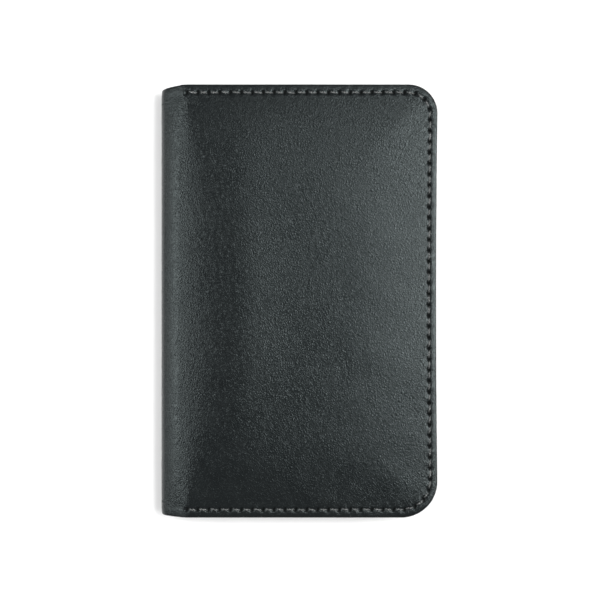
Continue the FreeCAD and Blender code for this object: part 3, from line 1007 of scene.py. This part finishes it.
def new_material(name):
    """A material with its Principled shader, and a helper that adds nodes to it."""
    material = bpy.data.materials.new(name)
    material.use_nodes = True
    tree = material.node_tree
    shader = tree.nodes["Principled BSDF"]

    def node(kind, links=None, **values):
        """Adds a node; values set its properties or inputs, and links join its inputs."""
        made = tree.nodes.new("ShaderNode" + kind)
        for key, value in values.items():
            if hasattr(made, key):
                setattr(made, key, value)
            else:
                made.inputs[key.replace("_", " ")].default_value = value
        for key, source in (links or {}).items():
            tree.links.new(source, made.inputs[key])
        return made

    return material, tree, shader, node


def ramp(node, source, low, high, out_low=0.0, out_high=1.0):
    """Maps a range of a value to another range, clamped."""
    mapped = node("MapRange", {"Value": source}, clamp=True)
    for key, value in (("From Min", low), ("From Max", high), ("To Min", out_low), ("To Max", out_high)):
        mapped.inputs[key].default_value = value
    return mapped.outputs["Result"]


def math_node(node, operation, a, b):
    """A two-input sum, product or other operation on values or sockets."""
    made = node("Math", operation=operation)
    for i, value in enumerate((a, b)):
        if isinstance(value, (int, float)):
            made.inputs[i].default_value = value
        else:
            made.id_data.links.new(value, made.inputs[i])
    return made.outputs["Value"]


def mix_colour(node, share, a, b):
    """A mix of two colours or colour sockets, by a share that is a socket."""
    made = node("Mix", data_type="RGBA")
    inputs = [s for s in made.inputs if s.type == "RGBA"]
    factor = next(s for s in made.inputs if s.type == "VALUE")
    links = made.id_data.links
    links.new(share, factor)
    for socket, value in zip(inputs, (a, b)):
        if isinstance(value, tuple):
            socket.default_value = (*value, 1.0)
        else:
            links.new(value, socket)
    return next(s for s in made.outputs if s.type == "RGBA")


def noise(node, place, scale, detail, roughness=0.5):
    """Noise over the leather, with a scale in waves per millimetre."""
    made = node("TexNoise", {"Vector": place}, Scale=scale, Detail=detail, Roughness=roughness)
    return made.outputs["Fac"]


def add_bump(node, shader, height, strength, depth):
    """Bumps a shader's surface by a height, which stands for a depth in millimetres."""
    bump = node("Bump", {"Height": height}, Strength=strength, Distance=depth * MM)
    bump.id_data.links.new(bump.outputs["Normal"], shader.inputs["Normal"])


def add_share(node, total, value, share):
    """A value plus a share of another."""
    return math_node(node, "ADD", total, math_node(node, "MULTIPLY", value, share))


def leather_grain(node, skin, grain_size):
    """The height of the grain side: pebbles in two sizes, fine pores and soft unevenness."""
    warp = node("TexNoise", {"Vector": skin}, Scale=0.55, Detail=2.0)
    pull = node("VectorMath", {0: warp.outputs["Color"]}, operation="SCALE")
    pull.inputs["Scale"].default_value = 1.3
    warped = node("VectorMath", {0: skin, 1: pull.outputs["Vector"]}, operation="ADD").outputs["Vector"]
    cells = node("TexVoronoi", {"Vector": warped}, feature="DISTANCE_TO_EDGE", Scale=1 / grain_size)
    pebble = ramp(node, cells.outputs["Distance"], 0.0, 0.42)
    finer = node("TexVoronoi", {"Vector": warped}, feature="DISTANCE_TO_EDGE", Scale=2.3 / grain_size)
    small = ramp(node, finer.outputs["Distance"], 0.0, 0.3)
    pores = noise(node, skin, 5.5, 3.0, 0.6)
    soft = noise(node, skin, 0.9, 2.0)
    grain = math_node(node, "MULTIPLY", pebble, 0.7)
    for layer, share in ((small, 0.12), (pores, 0.25), (soft, 0.3)):
        grain = add_share(node, grain, layer, share)
    return grain


def leather_bump(node, shader, grain, fibres, edge, flesh, depth):
    """Bumps the surface by its grain, smooth on polished edges, or by its fibres on the flesh side."""
    faced = math_node(node, "MULTIPLY", grain, math_node(node, "SUBTRACT", 1.0, edge))
    height = node("Mix", {"Factor": flesh}, data_type="FLOAT")
    links = height.id_data.links
    links.new(faced, height.inputs[2])
    links.new(math_node(node, "MULTIPLY", fibres, 2.2), height.inputs[3])
    add_bump(node, shader, height.outputs[0], 1.0, depth)


def leather_colour(node, tones, grain, fibres, slow, blotch, wear_and_shade):
    """The colour: dye with slow changes of tone, a raw flesh side and burnished edges, with painted shade
    darkening the grain's pits and painted near-black shade in the stitch holes.
    """
    dark, light = tones
    edge, flesh, hole = wear_and_shade
    tone = mix_colour(node, ramp(node, slow, 0.35, 0.65), dark, light)
    faded = tuple(1.35 * c for c in light)
    mottled = mix_colour(node, ramp(node, blotch, 0.3, 0.75, 0.0, 0.35), tone, faded)
    # painted shade: the colour darkens where the grain is low, in its pits
    in_pits = mix_colour(node, ramp(node, grain, 0.45, 1.05, 0.35, 0.0), mottled, PIT_SHADE_TONE)
    raw_tones = tuple(0.8 * c for c in dark), tuple(1.5 * c for c in light)
    raw = mix_colour(node, ramp(node, fibres, 0.35, 0.7), *raw_tones)
    sided = mix_colour(node, flesh, in_pits, raw)
    burnished = mix_colour(node, math_node(node, "MULTIPLY", edge, 0.85), sided, BURNISHED_TONE)
    # painted shade: the stitch holes are painted near-black
    return mix_colour(node, ramp(node, hole, 0.25, 0.7), burnished, HOLE_SHADE_TONE)


def leather_gloss(node, skin, rough, blotch, wear_and_shade):
    """The roughness: uneven over the face, more on the flesh side and in holes, less on the edges."""
    edge, flesh, hole = wear_and_shade
    specks = noise(node, skin, 1.5, 2.0)
    gloss = ramp(node, blotch, 0.25, 0.75, rough - 0.05, rough + 0.05)
    gloss = math_node(node, "ADD", gloss, ramp(node, specks, 0.3, 0.7, -0.075, 0.075))
    gloss = add_share(node, gloss, flesh, 0.35)
    gloss = add_share(node, gloss, edge, -0.12)
    return math_node(node, "ADD", gloss, ramp(node, hole, 0.2, 0.6, 0.0, 0.7))


def leather(name, tones, grain_size, grain_depth, rough):
    """Dyed satin leather, from what each point says of its place on the sheet, its wear and its painted
    shade.
    """
    material, tree, shader, node = new_material(name)
    skin = node("Attribute", attribute_name="skin").outputs["Vector"]
    worn_and_shaded = node("Attribute", attribute_name="wear_and_shade").outputs["Vector"]
    wear_and_shade = node("SeparateXYZ", {"Vector": worn_and_shaded}).outputs[:3]
    edge, flesh, _ = wear_and_shade
    slow = noise(node, skin, 0.035, 3.0)
    blotch = noise(node, skin, 0.16, 4.0, 0.6)
    fibres = noise(node, skin, 2.2, 6.0, 0.75)
    grain = leather_grain(node, skin, grain_size)
    leather_bump(node, shader, grain, fibres, edge, flesh, grain_depth)
    colour = leather_colour(node, tones, grain, fibres, slow, blotch, wear_and_shade)
    tree.links.new(colour, shader.inputs["Base Color"])
    tree.links.new(leather_gloss(node, skin, rough, blotch, wear_and_shade), shader.inputs["Roughness"])
    shader.inputs["Specular IOR Level"].default_value = 0.25
    shader.inputs["Specular Tint"].default_value = LEATHER_TINT
    return material


def thread_material():
    """Waxed twisted thread, almost black, with fine fibres along it."""
    material, tree, shader, node = new_material("waxed_thread")
    skin = node("Attribute", attribute_name="skin").outputs["Vector"]
    fibres = noise(node, skin, 9.0, 4.0, 0.7)
    wax = noise(node, skin, 0.8, 2.0)
    tone = mix_colour(node, ramp(node, fibres, 0.3, 0.7), *THREAD_TONES)
    tree.links.new(tone, shader.inputs["Base Color"])
    tree.links.new(ramp(node, wax, 0.3, 0.7, 0.16, 0.3), shader.inputs["Roughness"])
    shader.inputs["Specular IOR Level"].default_value = 0.9
    add_bump(node, shader, fibres, 0.6, 0.04)
    return material


def dress(things, material):
    """Gives objects a material."""
    for thing in things:
        thing.data.materials.clear()
        thing.data.materials.append(material)


# ---------------- studio

FLOOR_HALF = 2.5
# the world: place on its ramp and grey, near the horizon and overhead
HORIZON = (0.05, 0.5)
OVERHEAD = (0.75, 0.12)
# each lamp: its lean from overhead towards +X and +Y in degrees, its distance, width and height in
# metres, and its watts
LAMPS = {
    "key": (27, 2, 0.8, 0.40, 0.24, 4.9),
    "top": (14, 18, 0.8, 0.30, 0.25, 1.1),
    "left": (-42, 2, 0.55, 0.44, 0.16, 1.9),
    "low_left": (-70, 2, 0.55, 0.44, 0.14, 0.7),
    "side": (60, 15, 0.9, 0.25, 0.25, 2.7),
}
# the camera: the width that it sees at its distance, and the point that it is over, in millimetres
VIEW_WIDTH = 207.4
VIEW_DISTANCE = 400.0
VIEW_CENTRE = (0.46, 0.35)


def make_floor():
    """A wide pale floor under the wallet."""
    mesh = bpy.data.meshes.new("floor")
    corners = [(FLOOR_HALF * x, FLOOR_HALF * y, 0) for x, y in ((-1, -1), (1, -1), (1, 1), (-1, 1))]
    mesh.from_pydata(corners, [], [(0, 1, 2, 3)])
    floor = add_object("floor", mesh)
    material, _, shader, _ = new_material("floor")
    shader.inputs["Base Color"].default_value = (0.9, 0.9, 0.9, 1)
    shader.inputs["Roughness"].default_value = 0.9
    shader.inputs["Specular IOR Level"].default_value = 0.1
    mesh.materials.append(material)


def area_light(name, lean_x, lean_y, distance, width, height, watts):
    """A rectangular soft light turned to the origin; its width lies level, along Y."""
    lean = [math.tan(math.radians(angle)) for angle in (lean_x, lean_y)]
    place = Vector((*lean, 1)).normalized() * distance
    data = bpy.data.lights.new(name, "AREA")
    data.shape = "RECTANGLE"
    data.size, data.size_y = width, height
    data.energy = watts
    light = add_object(name, data)
    light.location = place
    light.rotation_mode = "QUATERNION"
    light.rotation_quaternion = (-place).to_track_quat("-Z", "Y")


def make_world():
    """A dim studio round the table, darker overhead than at the horizon."""
    world = bpy.data.worlds.new("studio")
    bpy.context.scene.world = world
    world.use_nodes = True
    tree = world.node_tree
    where = tree.nodes.new("ShaderNodeTexCoord")
    split = tree.nodes.new("ShaderNodeSeparateXYZ")
    tree.links.new(where.outputs["Generated"], split.inputs["Vector"])
    shade = tree.nodes.new("ShaderNodeValToRGB")
    for stop, (position, grey) in zip(shade.color_ramp.elements, (HORIZON, OVERHEAD)):
        stop.position = position
        stop.color = (grey, grey, grey, 1)
    tree.links.new(split.outputs["Z"], shade.inputs["Fac"])
    tree.links.new(shade.outputs["Color"], tree.nodes["Background"].inputs["Color"])
    tree.nodes["Background"].inputs["Strength"].default_value = 1.0


def make_camera():
    """A camera straight above the wallet."""
    data = bpy.data.cameras.new("camera")
    data.sensor_width = 36
    data.lens = 36 * VIEW_DISTANCE / VIEW_WIDTH
    data.clip_start, data.clip_end = 0.01, 20
    camera = add_object("camera", data)
    camera.location = Vector((*VIEW_CENTRE, STACK + VIEW_DISTANCE)) * MM
    bpy.context.scene.camera = camera


cover = make_cover()
panels = make_panels()
stitching = make_stitching()
dress(cover, leather("cover_leather", COVER_TONES, grain_size=0.75, grain_depth=0.066, rough=0.23))
dress(panels, leather("pocket_leather", POCKET_TONES, grain_size=0.8, grain_depth=0.035, rough=0.5))
dress(stitching, thread_material())
make_floor()
make_world()
for lamp, facts in LAMPS.items():
    area_light(lamp, *facts)
make_camera()
bpy.context.scene.view_settings.view_transform = "Standard"
